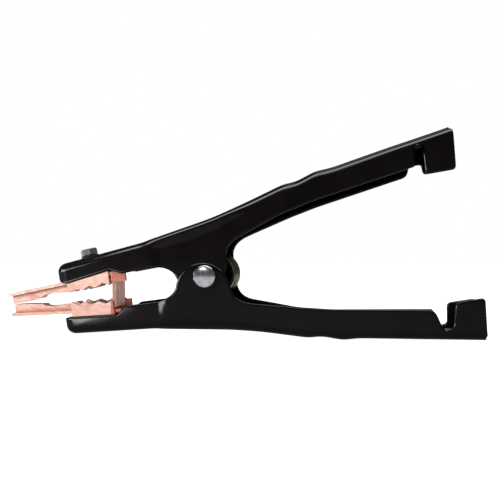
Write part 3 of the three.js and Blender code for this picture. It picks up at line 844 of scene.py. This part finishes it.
def tack_shape(washer_y):
    """The lower jaw's rivet, closed inside the jaw over a washer."""
    tip_y = washer_y - TACK_HEIGHT
    corners = [(0, tip_y, 0), (TACK_TIP, tip_y, 0.9), (TACK_RADIUS, washer_y - TACK_HEIGHT / 2, 0.5),
               (TACK_RADIUS, washer_y, 0.15), (SCREW_RADIUS, washer_y, 0), (SCREW_RADIUS, 0, 0.4), (0, 0, 0)]
    return lathe(rounded_line(corners, 5) + [(0, 0)])


def make_jaw_fasteners():
    """The terminal screw with its washer and nut, and the rivet of the lower jaw with its washer."""
    base_z = JAW_MIDDLE[1] + JAW_SLOPE * (FASTENER_X - JAW_MIDDLE[0]) - JAW_BASE
    base_depth = (back_z(FASTENER_X) - base_z) * math.cos(math.atan(NOSE_SLOPE))
    stack = base_depth + 2 * (LEAF + CLEARANCE) + TILT_ROOM
    stack_y = -stack - CLEARANCE
    on_upper = placed("upper") @ at_fastener()
    on_lower = placed("lower") @ at_fastener()
    make_turned("screw", "terminal_screw", screw_shape(stack_y - NUT[1]), on_upper, UPPER)
    lock = split_washer_shape(CLEARANCE)
    make_turned("lock_washer", "terminal_lock_washer", lock, on_upper, UPPER, DARK_ZINC)
    make_turned("square_nut", "terminal_nut", nut_shape(stack_y - NUT[1]), on_upper, UPPER)
    make_turned("tack_rivet", "jaw_rivet", tack_shape(stack_y), on_lower, LOWER)
    radius, thickness = LOCK_WASHER
    washer_y = CLEARANCE + TILT_ROOM - base_depth + JAW_BASE
    washer = ring_shape(SCREW_RADIUS + CLEARANCE, radius, washer_y, washer_y + thickness)
    make_turned("tack_washer", "jaw_rivet_washer", washer, on_lower, LOWER)


def make_spring_and_strap():
    """The spring and the two leaves of the strap. Both cross the joint, and they are fixed to neither half."""
    plan = placed("upper")
    spring = new_object("spring_wire", *spring_shape(), plan, WIRE)
    standing_for("torsion_spring", spring, False)
    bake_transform(spring)
    for leaf, place in enumerate(("rear", "front")):
        braid = new_object(f"braid_{place}", *strap_shape(leaf), plan, BRAID)
        standing_for(f"strap_{place}_leaf", braid, False)
        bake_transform(braid)


def soften_jaws():
    """The jaws are the CAD's own solids, with the worn edges and the skin of a casting."""
    for half in ("upper", "lower"):
        jaw = frame["nodes"][f"{half}_jaw"]
        jaw.data.materials.clear()
        jaw.data.materials.append(COPPER)
        edge = jaw.modifiers.new("cast edges", "BEVEL")
        edge.width = CAST_EDGE
        edge.segments = 3
        edge.angle_limit = math.radians(28)
        jaw.modifiers.new("flat faces", "WEIGHTED_NORMAL")


make_levers()
make_pivot()
make_jaw_fasteners()
make_spring_and_strap()
soften_jaws()

# ---- stage, light and camera ------------------------------------------------------------------

def stage():
    """A plain pale floor that glows white to the camera and lights the pieces only dimly."""
    mesh = bpy.data.meshes.new("floor")
    r = FLOOR_HALF
    mesh.from_pydata([(-r, -r, 0), (r, -r, 0), (r, r, 0), (-r, r, 0)], [], [(0, 1, 2, 3)])
    floor = bpy.data.objects.new("floor", mesh)
    bpy.context.scene.collection.objects.link(floor)
    n = Nodes("pale_floor")
    pale = (0.93, 0.93, 0.93)
    path = n.add("ShaderNodeLightPath")
    glow = n.add("ShaderNodeMapRange")
    glow.inputs["To Min"].default_value, glow.inputs["To Max"].default_value = FLOOR_GLOW
    n.link(path.outputs["Is Camera Ray"], glow.inputs["Value"])
    mesh.materials.append(n.set(Base_Color=pale, Roughness=0.7, Emission_Color=pale,
                                Emission_Strength=glow.outputs[0]))


def softbox(name, place, target, size, power, only=None):
    """A soft light that the camera doesn't see, on every piece or only on one group of them."""
    light = bpy.data.lights.new(name, "AREA")
    light.shape = "RECTANGLE"
    light.size, light.size_y = size
    light.energy = power
    box = bpy.data.objects.new(name, light)
    box.location = place
    box.visible_camera = False
    box.rotation_mode = "QUATERNION"
    box.rotation_quaternion = (Vector(target) - Vector(place)).to_track_quat("-Z", "Y")
    bpy.context.scene.collection.objects.link(box)
    if only:
        box.light_linking.receiver_collection = only


def linked(name, pieces):
    """A group of pieces that a light can be kept to."""
    group = bpy.data.collections.new(name)
    for piece in pieces:
        group.objects.link(bpy.data.objects[piece])
    return group


def surroundings():
    """White to the eye, and a dim room in what the gloss reflects."""
    world = bpy.data.worlds.new("room")
    bpy.context.scene.world = world
    world.use_nodes = True
    tree = world.node_tree
    tree.nodes.clear()
    seen = tree.nodes.new("ShaderNodeBackground")
    seen.inputs[0].default_value = (1, 1, 1, 1)
    seen.inputs[1].default_value = 1.0
    room = tree.nodes.new("ShaderNodeBackground")
    room.inputs[0].default_value = (0.9, 0.95, 1, 1)
    room.inputs[1].default_value = 0.1
    path = tree.nodes.new("ShaderNodeLightPath")
    either = tree.nodes.new("ShaderNodeMixShader")
    out = tree.nodes.new("ShaderNodeOutputWorld")
    tree.links.new(path.outputs["Is Camera Ray"], either.inputs[0])
    tree.links.new(room.outputs[0], either.inputs[1])
    tree.links.new(seen.outputs[0], either.inputs[2])
    tree.links.new(either.outputs[0], out.inputs[0])


def camera():
    """At the photograph's height and angle, nearly square to the side of the clamp."""
    data = bpy.data.cameras.new("camera")
    data.sensor_width = 36
    data.lens = 46.08
    data.clip_start, data.clip_end = 0.02, 50
    view = bpy.data.objects.new("camera", data)
    right = Vector((0.99170, 0.12861, -0.000345))
    up = Vector((-0.000255, 0.00465, 0.99999))
    forward = Vector((-0.12861, 0.99168, -0.00464))
    turn = Matrix((right, up, -forward)).transposed().to_4x4()
    view.matrix_world = Matrix.Translation(CAMERA_AT) @ turn
    bpy.context.scene.collection.objects.link(view)
    bpy.context.scene.camera = view


def lights():
    """Two for every piece, three that draw the bends of the black levers, three for the copper."""
    coated = linked("coated steel", ("upper_lever_shell", "lower_lever_shell"))
    copper = linked("copper", ("upper_jaw", "lower_jaw", "braid_rear", "braid_front"))
    softbox("key", (-0.30, -0.60, 0.75), (-0.05, 0, 0.03), (0.55, 0.20), 2.6)
    softbox("fill", (0.05, 0.15, 1.0), (0, 0, 0.03), (0.7, 0.5), 2.2)
    softbox("top", (0.0, -0.42, 0.95), (0, 0, 0.04), (1.4, 0.40), 34, coated)
    softbox("left", (-0.85, -0.70, 0.15), (-0.05, 0, 0.03), (0.80, 0.35), 24, coated)
    softbox("low card", (-0.150, -0.110, 0.001), (-0.150, -0.110, 1), (0.10, 0.10), 0.9, coated)
    softbox("strap fill", (0.30, -0.50, 0.10), (-0.065, 0, 0.035), (0.3, 0.2), 1.5, copper)
    softbox("nose fill", (-0.22, -0.20, 0.07), (-0.09, 0, 0.035), (0.12, 0.08), 0.17, copper)
    softbox("front fill", (-0.05, -0.80, 0.20), (-0.07, 0, 0.035), (0.7, 0.4), 1.05, copper)


stage()
surroundings()
lights()
camera()
bpy.context.scene.view_settings.view_transform = "Standard"
